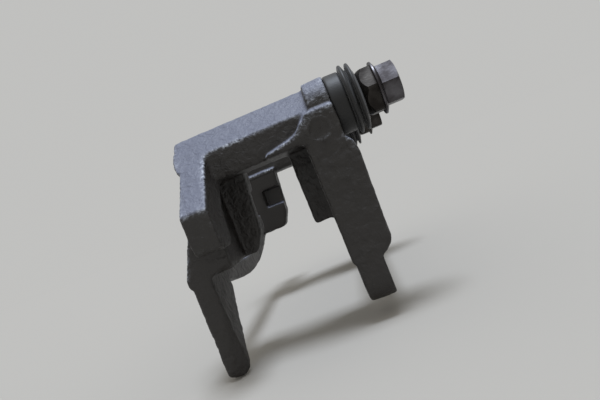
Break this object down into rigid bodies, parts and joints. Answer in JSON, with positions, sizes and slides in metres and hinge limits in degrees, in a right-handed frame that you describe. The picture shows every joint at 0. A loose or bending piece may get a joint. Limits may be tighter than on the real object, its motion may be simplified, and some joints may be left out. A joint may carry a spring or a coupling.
{
  "type": "brake caliper anchor bracket",
  "caption": "Cast anchor bracket of a floating disc brake caliper, with guide pins, rubber boots and flange bolts that slide and turn in it.",
  "frame": {"origin": "midway between the two mounting holes, on the machined faces of the ears", "axes": "+X along the guide pins towards their heads, which is away from the disc; +Y along the bracket towards the end without the long arm; +Z away from the axle"},
  "size_m": [0.1076, 0.2004, 0.1013],
  "materials": {
    "coated_cast_iron": "black electrocoat over a sand-cast skin, satin",
    "plated_pin_steel": "turned steel, dark zinc-nickel plated, satin",
    "plated_bolt_steel": "cold-headed steel, zinc-flake coated, semi-gloss",
    "boot_rubber": "moulded black EPDM, slightly greasy",
    "ring_steel": "bright strip steel",
    "bush_rubber": "moulded black rubber"
  },
  "bodies": {
    "carrier": {"bracket": "coated_cast_iron", "near_boot_ring": "ring_steel", "far_boot_ring": "ring_steel"},
    "near_boot": {"near_pin_boot": "boot_rubber"},
    "near_pin": {"near_guide_pin": "plated_pin_steel", "near_caliper_bolt": "plated_bolt_steel"},
    "far_boot": {"far_pin_boot": "boot_rubber"},
    "far_pin": {"far_guide_pin": "plated_pin_steel", "far_caliper_bolt": "plated_bolt_steel", "far_pin_bush": "bush_rubber"}
  },
  "joints": [
    {"name": "near_pin_slide", "type": "slide", "parent": "carrier", "child": "near_boot", "axis": [1, 0, 0], "range_m": [-0.004, 0.01], "deforming": ["near_pin_boot"]},
    {"name": "near_pin_turn", "type": "hinge", "parent": "near_boot", "child": "near_pin", "pos_m": [0.0166, -0.0635, 0.0684], "axis": [1, 0, 0], "continuous": true},
    {"name": "far_pin_slide", "type": "slide", "parent": "carrier", "child": "far_boot", "axis": [1, 0, 0], "range_m": [-0.004, 0.01], "deforming": ["far_pin_boot"]},
    {"name": "far_pin_turn", "type": "hinge", "parent": "far_boot", "child": "far_pin", "pos_m": [0.0166, 0.0635, 0.0684], "axis": [1, 0, 0], "continuous": true}
  ]
}
